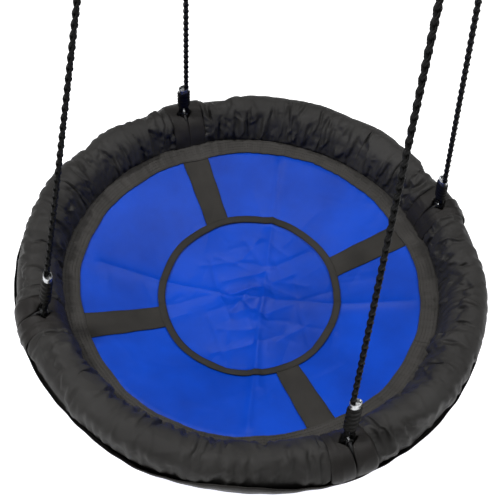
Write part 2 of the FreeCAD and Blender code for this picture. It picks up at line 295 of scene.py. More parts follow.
def carried_frames(points):
    """A steady pair of cross directions along a line, with no twist."""
    forward = np.gradient(points, axis=0)
    forward /= np.linalg.norm(forward, axis=1)[:, None]
    first = np.cross(forward[0], (0.31, 0.87, 0.38))
    cross = [first / np.linalg.norm(first)]
    for direction in forward[1:]:
        step = cross[-1] - direction * np.dot(cross[-1], direction)
        cross.append(step / np.linalg.norm(step))
    cross = np.array(cross)
    return forward, cross, np.cross(forward, cross)


def tube_faces(rings, sides, first):
    """Quads round a run of rings, with the two ends closed."""
    around = np.arange(sides)
    start = first + np.arange(rings - 1)[:, None] * sides
    quads = np.stack([start + around, start + (around + 1) % sides,
                      start + sides + (around + 1) % sides, start + sides + around], -1)
    ends = [list(first + around[::-1]), list(first + (rings - 1) * sides + around)]
    return [list(q) for q in quads.reshape(-1, 4)] + ends


def braid(name, route):
    """The plait along a route; returns the piece, its middle line and its length."""
    points, length = spline_points(name + "_line", route, STRAND_STEP)
    forward, cross, other = carried_frames(points)
    gone = np.linspace(0, length, len(points))
    angles = np.arange(STRAND_SIDES) / STRAND_SIDES * 2 * math.pi
    places, faces, colours = [], [], []
    for way in (1, -1):
        for strand in range(2):
            turn = way * 2 * math.pi * gone / BRAID_PITCH + strand * math.pi
            radius = STRAND_FROM_MIDDLE + way * STRAND_WEAVE * np.cos(4 * math.pi * gone / BRAID_PITCH)
            out = np.cos(turn)[:, None] * cross + np.sin(turn)[:, None] * other
            middle = points + radius[:, None] * out
            run = np.gradient(middle, axis=0)
            run /= np.linalg.norm(run, axis=1)[:, None]
            flat = np.cross(run, out)
            ring = (middle[:, None] + STRAND_HALF_WIDE * np.cos(angles)[None, :, None] * flat[:, None]
                    + STRAND_HALF_THICK * np.sin(angles)[None, :, None] * out[:, None])
            first = sum(len(p) for p in places)
            places.append(ring.reshape(-1, 3))
            faces += tube_faces(len(points), STRAND_SIDES, first)
            colours.append(np.repeat(gone, STRAND_SIDES))
    ring = points[:, None] + CORE_R * (np.cos(angles)[None, :, None] * cross[:, None]
                                       + np.sin(angles)[None, :, None] * other[:, None])
    first = sum(len(p) for p in places)
    places.append(ring.reshape(-1, 3))
    faces += tube_faces(len(points), STRAND_SIDES, first)
    colours.append(np.repeat(gone, STRAND_SIDES))
    mesh = bpy.data.meshes.new(name)
    mesh.from_pydata(np.concatenate(places).tolist(), [], faces)
    layer = mesh.attributes.new("along_rope", "FLOAT", "POINT")
    layer.data.foreach_set("value", np.concatenate(colours).astype(np.float32))
    mesh.shade_smooth()
    piece = bpy.data.objects.new(name, mesh)
    bpy.context.collection.objects.link(piece)
    return piece, points, length


for corner in CORNERS:
    rope, line, length = braid("rope_braid_" + corner, rope_route(corner))
    body = "ropes_right" if "right" in corner else "ropes_left"
    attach(rope, body)
    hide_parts("rope_" + corner)
    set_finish(rope, "black_braided_rope")
    print("rope %s: %.3f m, %d faces" % (corner, length, len(rope.data.polygons)))

# %% [markdown]
# ## How the deck lies
# Every deck piece lies on one surface, so the layers keep their order. It falls from the hem to the
# binding ring and dishes in the middle. On the cloth that was folded in its box, two long creases
# cross the deck, small crumples spread from the places where they meet, and the hem puckers.

# %% Deck surface
SEED = 7
HEM_IN = 376 * MM
HEM_SEWN = 414 * MM
HEM_OUT = 421 * MM
FIRST_ROW, ROW_GAP = 3.3 * MM, 6.6 * MM
HEM_RISE = 13 * MM
FOLD_TURN = math.radians(17)
FOLD_CROSSING = np.array([30, 5]) * MM
FOLD_REACH = 370 * MM
STARS = [(80, 0), (-100, 0), (0, 80), (0, -120)]


def fold_point(along, across):
    """A place given by its distances from the crossing of the two long folds."""
    c, s = math.cos(FOLD_TURN), math.sin(FOLD_TURN)
    return FOLD_CROSSING + np.array([along * c - across * s, along * s + across * c])


def folds():
    """(start, end, height): two long folds at right angles, and short ones from four stars on them."""
    lines = [(fold_point(-FOLD_REACH, 0), fold_point(FOLD_REACH, 0), 6.5 * MM),
             (fold_point(0, -FOLD_REACH), fold_point(0, FOLD_REACH), 6.5 * MM)]
    luck = np.random.default_rng(SEED + 50)
    for along, across in STARS:
        star = fold_point(along * MM, across * MM)
        for arm in range(4):
            turn = math.radians(35 + 90 * arm + luck.uniform(-20, 20))
            reach = luck.uniform(60, 130) * MM
            end = star + reach * np.array([math.cos(turn), math.sin(turn)])
            lines.append((star, end, luck.choice([-1, 1]) * luck.uniform(3.5, 5.5) * MM))
    return lines


def from_line(x, y, start, end):
    """Distance of every point from one straight crease."""
    run = np.array(end) - np.array(start)
    share = np.clip(((x - start[0]) * run[0] + (y - start[1]) * run[1]) / (run @ run), 0, 1)
    return np.hypot(x - start[0] - share * run[0], y - start[1] - share * run[1])


def crease_height(x, y):
    """Sharp low ridges along the fold lines and a scatter of small crumples."""
    height = np.zeros_like(x)
    for start, end, size in folds():
        height += size * np.exp(-from_line(x, y, start, end) / (10 * MM))
    luck = np.random.default_rng(SEED)
    for _ in range(90):
        far = 330 * MM * luck.random() ** 0.8
        turn, lean = luck.random(2) * 2 * math.pi
        middle = np.array([far * math.cos(turn), far * math.sin(turn)])
        reach = (20 + 40 * luck.random()) * MM * np.array([math.cos(lean), math.sin(lean)])
        size = luck.uniform(-4.6, 4.6) * MM * (1.25 - far / (330 * MM)) ** 1.5
        height += size * np.exp(-from_line(x, y, middle - reach, middle + reach) / (8 * MM))
    return height


def bumps(azimuth, places):
    """Soft swellings round the rim from (degrees, mm, width in degrees)."""
    turn = np.degrees(azimuth)
    return sum(size * MM * np.exp(-((((turn - at + 180) % 360) - 180) / wide) ** 2)
               for at, size, wide in places)


def hem_inner(azimuth):
    """The hem's inner edge: round, but pulled in and let out by its gathers."""
    bowed = 9 * MM * np.clip(-np.cos(2 * azimuth), 0, 1) ** 2
    drawn = bowed - bumps(azimuth, [(degrees, 4, 9) for degrees in CORNERS.values()])
    return HEM_IN + drawn + MM * (1.2 * np.sin(13 * azimuth) + 0.7 * np.sin(29 * azimuth))


def ring_inner(azimuth):
    """The binding ring is pulled slightly oval by the spokes."""
    return BINDING_IN + MM * (0.5 - 7 * np.cos(2 * azimuth - 0.28) + 0.8 * np.sin(9 * azimuth))


def pucker(azimuth):
    """Crosswise gathers of the hem, with no fixed beat."""
    return (np.sin(83 * azimuth + 2.1 * np.sin(9 * azimuth))
            + 0.7 * np.sin(131 * azimuth + 3 * np.sin(5 * azimuth))
            + 0.6 * np.sin(37 * azimuth + np.sin(11 * azimuth)))


def deck_z(x, y):
    """The height of the deck's upper side."""
    radius, azimuth = np.hypot(x, y), np.arctan2(y, x)
    cone = -CENTRE_SAG * np.clip((BLUE_R - radius) / (BLUE_R - BINDING_IN), 0, 1)
    dish = -CENTRE_DISH * np.clip(1 - (radius / BINDING_IN) ** 2, 0, 1)
    near_hem = np.exp(-((radius - 400 * MM) / (24 * MM)) ** 2)
    inside = np.clip((hem_inner(azimuth) - radius) / (25 * MM), 0.25, 1)
    slack = 1.6 * MM * np.sin(3 * azimuth + 9 * radius) * np.sin(radius * 16)
    rise = HEM_RISE * np.clip((radius - hem_inner(azimuth)) / (38 * MM), 0, 1.2) ** 1.4
    return (DECK_Z + cone + dish + rise + slack + 0.9 * MM * near_hem * pucker(azimuth)
            + inside * crease_height(x, y))


# %% [markdown]
# ## Cutting cloth
# A cloth is a grid of small squares. Its points are put where the cloth lies, its UV map keeps real
# metres of cloth, and Solidify gives it its thickness below the side that shows.

# %% Cloth helper
def cloth_grid(name, width, length, cell, place, thickness):
    """A cloth of width by length, laid by place(u, v) with u and v from 0 to 1."""
    across, along = max(2, round(width / cell)), max(2, round(length / cell))
    bpy.ops.object.select_all(action="DESELECT")
    bpy.ops.mesh.primitive_grid_add(x_subdivisions=across, y_subdivisions=along, size=1)
    cloth = bpy.context.object
    cloth.name = name
    mesh = cloth.data
    flat = np.empty(len(mesh.vertices) * 3)
    mesh.vertices.foreach_get("co", flat)
    u, v = flat[0::3] + 0.5, flat[1::3] + 0.5
    laid = np.stack(place(u, v), 1)
    mesh.vertices.foreach_set("co", laid.ravel())
    layer = mesh.uv_layers.active.data
    metres = np.empty(len(layer) * 2)
    layer.foreach_get("uv", metres)
    metres[0::2] *= width
    metres[1::2] *= length
    layer.foreach_set("uv", metres)
    if thickness:
        thicken(cloth, thickness)
    mesh.update()
    return cloth


def thicken(cloth, thickness):
    """Give a cloth its thickness, below the side that shows."""
    solid = cloth.modifiers.new("thickness", "SOLIDIFY")
    solid.thickness = thickness
    solid.offset = -1
    bpy.context.view_layer.objects.active = cloth
    cloth.select_set(True)
    bpy.ops.object.modifier_apply(modifier=solid.name)
    cloth.data.shade_smooth()


def join(name, parts):
    """Several meshes sewn or fixed as one piece."""
    bpy.ops.object.select_all(action="DESELECT")
    for part in parts:
        part.select_set(True)
    bpy.context.view_layer.objects.active = parts[0]
    bpy.ops.object.join()
    parts[0].name = name
    return parts[0]


def declare(piece, body, stands_for, slot):
    """What a piece moves with, which plain solids it stands for and what it is made of."""
    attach(piece, body)
    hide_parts(*stands_for)
    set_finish(piece, slot)


# %% [markdown]
# ## The blue deck
# Four quarter panels of woven cloth run under the spokes and the hem, and a round centre panel lies
# inside the binding ring.

# %% Blue panels
# drawn thicker than real canvas
FABRIC_T = 1.2 * MM
PANEL_UNDER = 4.0 * MM
SPOKE_HALF_IN, SPOKE_HALF_OUT = 25 * MM, 35 * MM


def spoke_half(radius):
    """Half the width of a spoke, which widens toward the hem."""
    share = (radius - 150 * MM) / (350 * MM)
    return SPOKE_HALF_IN + (SPOKE_HALF_OUT - SPOKE_HALF_IN) * share


for i in range(4):
    def lay_panel(u, v, middle=i * math.pi / 2):
        middle_radius = BINDING_IN + u * 190 * MM
        reach = math.pi / 4 - np.arcsin((spoke_half(middle_radius) - 8 * MM) / middle_radius)
        azimuth = middle + (2 * v - 1) * reach
        inner = ring_inner(azimuth) + 6 * MM
        radius = inner + u * (HEM_IN + 16 * MM - inner)
        x, y = radius * np.cos(azimuth), radius * np.sin(azimuth)
        return x, y, deck_z(x, y) - PANEL_UNDER

    panel = cloth_grid("seat_panel_cloth_%d" % (i + 1), 188 * MM, 395 * MM, 4 * MM, lay_panel, FABRIC_T)
    declare(panel, "seat", ["seat_panel_%d" % (i + 1)], "blue_woven_cloth")


def lay_centre(u, v):
    """The square grid drawn out to a disc."""
    a, b = 2 * u - 1, 2 * v - 1
    x, y = a * np.sqrt(1 - b * b / 2), b * np.sqrt(1 - a * a / 2)
    radius = ring_inner(np.arctan2(y, x)) + 6 * MM
    x, y = radius * x, radius * y
    return x, y, deck_z(x, y) - PANEL_UNDER


centre = cloth_grid("centre_panel_cloth", 404 * MM, 404 * MM, 3.5 * MM, lay_centre, FABRIC_T)
declare(centre, "seat", ["centre_panel"], "blue_woven_cloth")
print("deck cloths", len(centre.data.polygons), "faces in the centre")

# %% [markdown]
# ## Webbing
# The spokes, the binding ring and the hem are webbing and doubled cloth sewn over the edges of the
# blue panels. The hem's inner edge wanders a little, as sewn edges do.

# %% Spokes, binding and hem
for corner, degrees in CORNERS.items():
    def lay_spoke(u, v, turn=math.radians(degrees)):
        inner = ring_inner(turn) + 10 * MM
        outer = hem_inner(turn) + 8 * MM
        radius = inner + u * (outer - inner)
        side = (2 * v - 1) * (spoke_half(radius) + 0.5 * MM * np.sin(radius * 90 + 3 * turn))
        x = radius * math.cos(turn) - side * math.sin(turn)
        y = radius * math.sin(turn) + side * math.cos(turn)
        under_hem = np.clip((radius - outer + 14 * MM) / (8 * MM), 0, 1)
        ends = 0.25 * MM * np.sin(side * 260 + radius * 30)
        return x, y, deck_z(x, y) - 1.0 * MM - under_hem * 1.6 * MM + ends

    spoke = cloth_grid("spoke_webbing_" + corner, 177 * MM, 62 * MM, 4 * MM, lay_spoke, 1.5 * MM)
    declare(spoke, "seat", ["spoke_strap_" + corner], "black_webbing")


def lay_binding(u, v):
    azimuth = v * 2 * math.pi
    radius = ring_inner(azimuth) + u * 16 * MM
    crown = 0.7 * MM * np.sin(math.pi * u)
    x, y = radius * np.cos(azimuth), radius * np.sin(azimuth)
    return x, y, deck_z(x, y) + 0.4 * MM + crown


binding = cloth_grid("centre_binding_web", 16 * MM, 1282 * MM, 2.7 * MM, lay_binding, 1.6 * MM)
declare(binding, "seat", ["centre_binding"], "black_webbing")


def lay_hem(u, v):
    """The hem swells between its rows of stitches, as far out as it is sewn."""
    azimuth = v * 2 * math.pi
    inner = hem_inner(azimuth)
    radius = inner + u * (HEM_OUT - inner)
    x, y = radius * np.cos(azimuth), radius * np.sin(azimuth)
    between_rows = np.abs(np.sin((radius - inner - FIRST_ROW) * math.pi / ROW_GAP))
    rows = 1.5 * MM * between_rows * (radius < HEM_SEWN) - 0.8 * MM
    return x, y, deck_z(x, y) - 0.3 * MM + rows


hem = cloth_grid("hem_band_cloth", 44 * MM, 2576 * MM, 2.4 * MM, lay_hem, 2.0 * MM)
declare(hem, "seat", ["hem_band"], "black_hem_cloth")
print("hem faces", len(hem.data.polygons))

# %% [markdown]
# ## Stitches
# Each row of thread is a line of short stitches lying on the cloth. One stitch is modelled, and its
# points are repeated along every row.

# %% Stitch rows
bpy.ops.object.select_all(action="DESELECT")
bpy.ops.mesh.primitive_uv_sphere_add(segments=6, ring_count=4, radius=1)
stitch = bpy.context.object
stitch_points = np.array([v.co for v in stitch.data.vertices])
stitch_faces = [list(p.vertices) for p in stitch.data.polygons]
bpy.data.objects.remove(stitch)


def sew(name, rows, lift):
    """rows holds lists of (x, y) points a stitch apart; one mesh holds all their stitches."""
    places, faces = [], []
    for row in rows:
        row = np.array(row)
        middles, runs = (row[1:] + row[:-1]) / 2, row[1:] - row[:-1]
        heights = deck_z(middles[:, 0], middles[:, 1]) + lift
        for (x, y), (dx, dy), z in zip(middles, runs, heights):
            size = math.hypot(dx, dy)
            ahead = np.array([dx, dy]) / size
            shape = stitch_points * (0.38 * size, 0.8 * MM, 0.55 * MM)
            first = len(places) * len(stitch_points)
            places.append(np.stack([x + shape[:, 0] * ahead[0] - shape[:, 1] * ahead[1],
                                    y + shape[:, 0] * ahead[1] + shape[:, 1] * ahead[0], z + shape[:, 2]], 1))
            faces += [[first + k for k in face] for face in stitch_faces]
    mesh = bpy.data.meshes.new(name)
    mesh.from_pydata(np.concatenate(places).tolist(), [], faces)
    mesh.shade_smooth()
    piece = bpy.data.objects.new(name, mesh)
    bpy.context.collection.objects.link(piece)
    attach(piece, "seat")
    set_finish(piece, "black_webbing")
    return piece


def ring_row(radius, count):
    """A closed row of points, at a radius that depends on the azimuth."""
    turns = np.linspace(0, 2 * math.pi, count + 1)
    far = radius(turns)
    return np.stack([far * np.cos(turns), far * np.sin(turns)], 1)


hem_rows = [ring_row(lambda a, gap=FIRST_ROW + row * ROW_GAP: hem_inner(a) + gap, 400) for row in range(6)]
hem_thread = sew("hem_stitches", hem_rows, -0.1 * MM)
binding_rows = [ring_row(lambda a, gap=gap: ring_inner(a) + gap * MM, 250) for gap in (3, 13)]
sew("binding_stitches", binding_rows, 0.9 * MM)
spoke_rows = []
for degrees in CORNERS.values():
    turn = math.radians(degrees)
    for side in (-1, 1):
        reach = np.linspace(BINDING_OUT + 1 * MM, HEM_IN - 4 * MM, 32)
        off = side * (spoke_half(reach) - 4 * MM)
        spoke_rows.append(np.stack([reach * math.cos(turn) - off * math.sin(turn),
                                    reach * math.sin(turn) + off * math.cos(turn)], 1))
sew("spoke_stitches", spoke_rows, -0.9 * MM)
print("stitches", len(hem_thread.data.polygons) // 24, "in the hem")

# %% [markdown]
# ## The gathered rim covers
# Each quarter of the rim is a long cloth with more length than the rim, gathered into the hem on its
# inner edge and into the lower band on its outer edge. A cloth simulation makes it: the cloth starts
# smooth round the foam, wants to be longer than it is, and pushes out into folds while its sewn
# edges are held. A slight pressure stands for the foam's push.

# %% Rim cover simulation
COLLAR_HALF = 44 * MM
COVER_CELL = 5 * MM
COVER_T = 1.2 * MM
COVER_CUT = 245 * MM
# where a cover starts at the hem and ends under the rim, in degrees round its section
PROFILE_FROM, PROFILE_TO = 215, -24
# the foam under the covers; no fold may reach into it
FOAM_R = 37 * MM


def flare(phi):
    """Extra distance from the tube where the cover turns down to the hem."""
    share = np.clip((phi - 165) / (PROFILE_FROM - 165), 0, 1.1)
    return 18.5 * MM * share ** 1.6


def tight(phi):
    """1 where the cloth is pulled close over the foam, on the side toward the deck."""
    return np.clip((phi - 85) / 40, 0, 1) * np.clip((225 - phi) / 20, 0, 1)


def rim_point(azimuth, phi, rho):
    """A point round the rim: phi is 0 on the outside, 90 on top and 180 on the inside."""
    angle = np.radians(phi)
    radius = RIM_R + rho * np.cos(angle)
    return radius * np.cos(azimuth), radius * np.sin(azimuth), RIM_Z + rho * np.sin(angle)


def outline(azimuth):
    """The rim's slow bumps, where it is plump and where it is pulled in."""
    luck = np.random.default_rng(SEED + 90)
    places = [(turn + luck.uniform(-7, 7), luck.uniform(-6, 5), luck.uniform(5, 9))
              for turn in range(0, 360, 24)]
    return bumps(azimuth, places)


def simulate(cloth, held_weights, taut_weights):
    """Let the cloth grow by its extra length and keep the shape that it reaches."""
    group = cloth.vertex_groups.new(name="sewn")
    for index, weight in enumerate(held_weights):
        if weight > 0:
            group.add([index], float(weight), "REPLACE")
    taut = cloth.vertex_groups.new(name="taut")
    for index, weight in enumerate(taut_weights):
        taut.add([index], float(weight), "REPLACE")
    physics = cloth.modifiers.new("folds", "CLOTH")
    settings = physics.settings
    settings.quality = 6
    settings.mass = 0.15
    settings.tension_stiffness = settings.compression_stiffness = 12
    settings.shear_stiffness = 6
    settings.bending_stiffness = 0.15
    settings.tension_damping = settings.compression_damping = 8
    settings.shrink_min, settings.shrink_max = -0.38, -0.04
    settings.vertex_group_shrink = "taut"
    settings.vertex_group_mass = "sewn"
    settings.pin_stiffness = 1
    settings.use_pressure = True
    settings.uniform_pressure_force = 1.6
    settings.effector_weights.gravity = 0
    physics.collision_settings.use_collision = False
    scene = bpy.context.scene
    scene.frame_start, scene.frame_end = 1, 24
    physics.point_cache.frame_start, physics.point_cache.frame_end = 1, 24
    for frame_number in range(1, 25):
        scene.frame_set(frame_number)
    bpy.context.view_layer.objects.active = cloth
    bpy.ops.object.modifier_apply(modifier=physics.name)
    scene.frame_set(1)
    cloth.vertex_groups.clear()


def gathers(azimuth, phi, middle, half):
    """Short sharp folds that start at the hem's stitches and fade up the cover."""
    luck = np.random.default_rng(SEED + round(20 * middle))
    height = np.zeros_like(phi)
    for _ in range(76):
        start = middle + luck.uniform(-0.95, 0.95) * half
        lean = luck.uniform(-0.0012, 0.0012)
        end = luck.uniform(-10, 150)
        size = luck.uniform(3.0, 8.5) * MM * luck.choice([1, 1, -1])
        wide = luck.uniform(3.5, 9) * MM
        sway, beat, late = luck.uniform(2, 9) * MM, luck.uniform(9, 17), luck.uniform(0, 6)
        run = np.clip((phi - end) / (170 - end), 0, 1) ** 0.7 * np.clip((208 - phi) / 12, 0, 1)
        gap = (azimuth - start - lean * (PROFILE_FROM - phi)) * RIM_R + sway * np.sin(phi / beat + late)
        height += size * run * np.exp(-np.abs(gap) / (wide * (1.5 - 0.6 * run)))
    for _ in range(34):
        start, level = middle + luck.uniform(-0.9, 0.9) * half, luck.uniform(15, 130)
        lean, reach = luck.uniform(-1, 1) * 1.2, luck.uniform(20, 55) * MM
        along = (azimuth - start) * RIM_R
        up = np.radians(phi - level) * COVER_R
        ridge = along * math.cos(lean) + up * math.sin(lean)
        run = np.hypot(along, up) / reach
        height += luck.uniform(-5, 5) * MM * np.exp(-np.abs(ridge) / (9 * MM)) * np.exp(-run ** 2)
    return height


def keep_on_rim(cloth, low, high, middle_azimuth, half):
    """Folds reach in to the foam and out to the cover's free size, and no further."""
    mesh = cloth.data
    flat = np.empty(len(mesh.vertices) * 3)
    mesh.vertices.foreach_get("co", flat)
    points = flat.reshape(-1, 3)
    azimuth = np.arctan2(points[:, 1], points[:, 0])
    off = np.hypot(points[:, 0], points[:, 1]) - RIM_R
    up = points[:, 2] - RIM_Z
    rho, phi = np.hypot(off, up), np.degrees(np.arctan2(up, off))
    phi = np.where(phi < -90, phi + 360, phi)
    extra = flare(phi)
    from_middle = (azimuth - middle_azimuth + math.pi) % (2 * math.pi) - math.pi
    rho = rho + gathers(middle_azimuth + from_middle, phi, middle_azimuth, half)
    high = high - 3 * MM * tight(phi) - 5 * MM * np.clip((50 - phi) / 40, 0, 1)
    soft = (high - low) / 2
    middle = (high + low) / 2 + extra + outline(azimuth) * (1 - tight(phi))
    rho = np.maximum(middle + soft * np.tanh((rho - middle) / soft), FOAM_R + COVER_T + 0.5 * MM)
    mesh.vertices.foreach_set("co", np.stack(rim_point(azimuth, phi, rho), 1).ravel())
    mesh.update()


for i in range(4):
    half = math.pi / 4 - (COLLAR_HALF - 3 * MM) / RIM_R
    length = 2 * half * RIM_R
    luck = np.random.default_rng(SEED + i)
    waves = [(luck.uniform(30, 160), luck.uniform(0, 6.3), luck.uniform(-0.02, 0.02)) for _ in range(14)]

    def lay_cover(u, v, middle=i * math.pi / 2):
        phi = PROFILE_FROM + (PROFILE_TO - PROFILE_FROM) * u
        azimuth = middle + (1 - 2 * v) * -half
        ripple = sum(np.sin(k * azimuth + start + lean * phi) for k, start, lean in waves) / len(waves)
        held = np.minimum(1, np.minimum(u, 1 - u) * 9) * np.minimum(1, np.minimum(v, 1 - v) * 30)
        rho = 41.5 * MM - 2 * MM * tight(phi) + flare(phi) + (4 + 12 * (1 - u)) * MM * ripple * held
        return rim_point(azimuth, phi, rho + outline(azimuth) * held)

    cover = cloth_grid("rim_cover_cloth_%d" % (i + 1), COVER_CUT, length, COVER_CELL, lay_cover, 0)
    mesh = cover.data
    across, along = max(2, round(COVER_CUT / COVER_CELL)), max(2, round(length / COVER_CELL))
    index = np.arange(len(mesh.vertices))
    column, row = index % (across + 1), index // (across + 1)
    edge = (column < 1) | (column > across - 2) | (row < 1) | (row > along - 1)
    simulate(cover, edge.astype(float), np.clip(column / across * 1.15 - 0.1, 0, 1) ** 0.8)
    smooth = cover.modifiers.new("finer", "SUBSURF")
    smooth.levels = smooth.render_levels = 1
    bpy.ops.object.modifier_apply(modifier=smooth.name)
    keep_on_rim(cover, 37.5 * MM, 52 * MM, i * math.pi / 2, half)
    thicken(cover, COVER_T)
    declare(cover, "seat", ["rim_cover_%d" % (i + 1)], "black_oxford_cloth")
    print("cover", i + 1, len(cover.data.polygons), "faces")

# %% [markdown]
# ## The lower band and the collars
# A lower band of the same cloth laps over the covers from below. Where a rope leaves the rim, a flat
# collar goes round it in two halves with a slit between them. The halves part round the rope's eye,
# their edges turn in, and one half usually stands a little proud of the other.

# %% Lower band
def lay_band(u, v):
    """Round the underside and up the outside, with a lap where it meets the covers."""
    azimuth = v * 2 * math.pi
    top = -14 + 1.5 * np.sin(9 * azimuth) + bumps(azimuth, [(291, 32, 18)]) / MM
    phi = -143 + (top + 143) * u
    under = 6.4 * MM * np.clip((-112 - phi) / 31, 0, 1)
    lap = 1.0 * MM * np.clip(1 - abs(u - 0.93) / 0.07, 0, 1)
    rho = 48.4 * MM + under + lap + outline(azimuth) * 0.8 + 0.5 * MM * pucker(azimuth * 0.5) * u
    return rim_point(azimuth, phi, rho)


band = cloth_grid("lower_band_cloth", 108 * MM, 2 * math.pi * RIM_R, 4.2 * MM,
                  lambda u, v: lay_band(1 - u, v), COVER_T)
declare(band, "seat", ["rim_base_band"], "black_oxford_cloth")

# %% Collars
# which half of each collar stands proud, and half its slit's width in mm inside and outside the rope
PROUD = {"back_right": -1, "back_left": 0, "front_left": 1, "front_right": -1}
SLITS = {"back_right": (4.5, 1), "back_left": (2.5, 1), "front_left": (1, 5), "front_right": (1.2, 4.5)}
TURN_IN = 14 * MM
OPENING = 17.5 * MM


def slit_half(phi, opening, inner, outer):
    """Half of the gap between the two halves: wide at the rope, narrow toward hem and underside."""
    away = np.where(phi > 103, inner * np.clip((205 - phi) / 60, 0.3, 1),
                    outer * np.clip((phi + 20) / 90, 0.2, 1))
    return away * MM + opening * np.exp(-((phi - 103) / 16) ** 2)


for corner, degrees in CORNERS.items():
    halves = []
    foot, head, along, low_side, top_side = rope_ends(corner)
    lean = 45 * MM * along.dot(Vector((-math.sin(math.radians(degrees)), math.cos(math.radians(degrees)), 0)))
    for side in (-1, 1):
        def lay_half(u, v, turn=math.radians(degrees), side=side, opening=OPENING + side * lean,
                     slit=SLITS[corner], proud=PROUD[corner] == side):
            v = v if side > 0 else 1 - v
            phi = PROFILE_FROM + 2 - 327 * u
            gap = slit_half(phi, opening, *slit)
            width = COLLAR_HALF - gap
            out = width * np.clip(v / 0.8, 0, 1)
            fold = np.clip((v - 0.8) / 0.2, 0, 1)
            t = COLLAR_HALF - out - 0.5 * MM * np.sin(fold * math.pi)
            lifted = 7.5 * MM * (out / COLLAR_HALF) ** 1.5 * np.exp(-((phi - 95) / 75) ** 2) if proud else 0
            hem_edge = 1.8 * MM * np.exp(-((out - 18 * MM) / (3 * MM)) ** 2) if proud else 0
            edge = -2.5 * MM * np.exp(-out / (2.5 * MM))
            sag = -5.0 * MM * np.exp(-((phi - 105) / 60) ** 2)
            wrinkle = 0.5 * MM * np.sin(phi / 11 + 70 * out + degrees)
            rho = 47.3 * MM - 3 * MM * tight(phi) + flare(phi) + edge + sag + lifted + hem_edge + wrinkle
            return rim_point(turn + side * t / RIM_R, phi, rho - TURN_IN * fold ** 1.3)

        halves.append(cloth_grid("half", 265 * MM, 48 * MM, 2.6 * MM, lay_half, 1.4 * MM))
    collar = join("hanger_collar_" + corner, halves)
    declare(collar, "seat", ["hanger_wrap_" + corner], "black_oxford_cloth")
print("collars done")

# %% [markdown]
# ## Rope clamps
# A clamp is an oval metal ferrule pressed on the two legs of the rope's eye. A black ribbed sleeve
# covers it but for its bright end, where the rope comes out. It is raised from an oval by extrusion.

# %% Ribbed clamp
CLAMP_ABOVE_EYE, CLAMP_LEN = 33.5 * MM, 72 * MM


def extrude_up(rise, scale):
    """Raise the selected loop or face and change its width."""
    bpy.ops.mesh.extrude_region_move(TRANSFORM_OT_translate={"value": (0, 0, rise)})
    bpy.ops.transform.resize(value=(scale, scale, 1), center_override=(0, 0, 0))


def oval(width, depth, z, name):
    """A flat oval face, left in edit mode to be raised."""
    bpy.ops.object.select_all(action="DESELECT")
    bpy.ops.mesh.primitive_circle_add(vertices=40, radius=0.5, fill_type="NGON")
    piece = bpy.context.object
    piece.name = name
    bpy.ops.object.mode_set(mode="EDIT")
    bpy.ops.mesh.select_all(action="SELECT")
    bpy.ops.transform.resize(value=(width, depth, 1), center_override=(0, 0, 0))
    bpy.ops.transform.translate(value=(0, 0, z))
    return piece


sleeve = oval(25 * MM, 18 * MM, 0, "clamp_sleeve")
extrude_up(1.5 * MM, 1.06)
for rib in range(5):
    extrude_up(2.8 * MM, 1.0)
    extrude_up(1.6 * MM, 1.13)
    extrude_up(3.2 * MM, 1.03)
    extrude_up(1.8 * MM, 1 / 1.13)
    extrude_up(1.8 * MM, 1 / 1.03)
extrude_up(2.2 * MM, 0.97)
bpy.ops.mesh.select_all(action="SELECT")
bpy.ops.mesh.normals_make_consistent(inside=False)
bpy.ops.object.mode_set(mode="OBJECT")

ferrule = oval(24 * MM, 17 * MM, 1 * MM, "clamp_ferrule")
extrude_up(CLAMP_LEN - 3 * MM, 1.0)
extrude_up(1.0 * MM, 1.03)
extrude_up(1.0 * MM, 0.97)
extrude_up(0, 0.84)
extrude_up(-5 * MM, 1.0)
bpy.ops.mesh.select_all(action="SELECT")
bpy.ops.mesh.normals_make_consistent(inside=False)
bpy.ops.object.mode_set(mode="OBJECT")


def put(template, name, axis, place, across, body, stands_for, slot):
    """A copy with its own mesh, its height along axis and its width along across."""
    piece = bpy.data.objects.new(name, template.data.copy())
    bpy.context.collection.objects.link(piece)
    third = axis.cross(across).normalized()
    turn = Matrix((across, third, axis)).transposed().to_4x4()
    piece.data.transform(Matrix.Translation(place) @ turn)
    bpy.ops.object.select_all(action="DESELECT")
    piece.select_set(True)
    bpy.context.view_layer.objects.active = piece
    bpy.ops.object.shade_smooth_by_angle(angle=math.radians(50))
    declare(piece, body, stands_for, slot)


for corner in CORNERS:
    foot, head, along, low_side, top_side = rope_ends(corner)
    body = "ropes_right" if "right" in corner else "ropes_left"
    low = foot + along * (EYE_ABOVE_TUBE + CLAMP_ABOVE_EYE)
    top = head - along * CLAMP_ABOVE_EYE
    for end, axis, place, side in (("lower", along, low, low_side), ("upper", -along, top, top_side)):
        node = "%s_clamp_%s" % (end, corner)
        put(sleeve, "%s_sleeve_%s" % (end, corner), axis, place, side, body, [node], "black_ferrule")
        put(ferrule, "%s_ferrule_%s" % (end, corner), axis, place, side, body, [node], "zinc_thimble")
for template in (sleeve, ferrule):
    bpy.data.objects.remove(template)
print("clamps placed")

# %% [markdown]
# ## Cloth and rope finishes
# The black cloth is a plain weave with a dull coated face: warp and weft show as a fine grid and
# the colour drifts a little where it has rubbed. The weave repeats every 2.2 mm, which is coarser
# than real cloth, so that it still shows from two metres away.

# %% Weave helper and cloth finishes
def weave(tree, source, pitch, turn=0.0):
    """Crossed bands a pitch apart; returns a height from 0 to 1."""
    mapping = add_node(tree, "ShaderNodeMapping", [("Vector", source), ("Rotation", (0, 0, turn))])
    bands = [add_node(tree, "ShaderNodeTexWave", [("Vector", mapping.outputs["Vector"]),
                                                  ("Scale", 0.314 / pitch), ("Distortion", 0.6),
                                                  ("Detail", 1.0)], bands_direction=way).outputs["Fac"]
             for way in ("X", "Y")]
    return add_node(tree, "ShaderNodeMath", [(0, bands[0]), (1, bands[1])], operation="MAXIMUM").outputs[0]


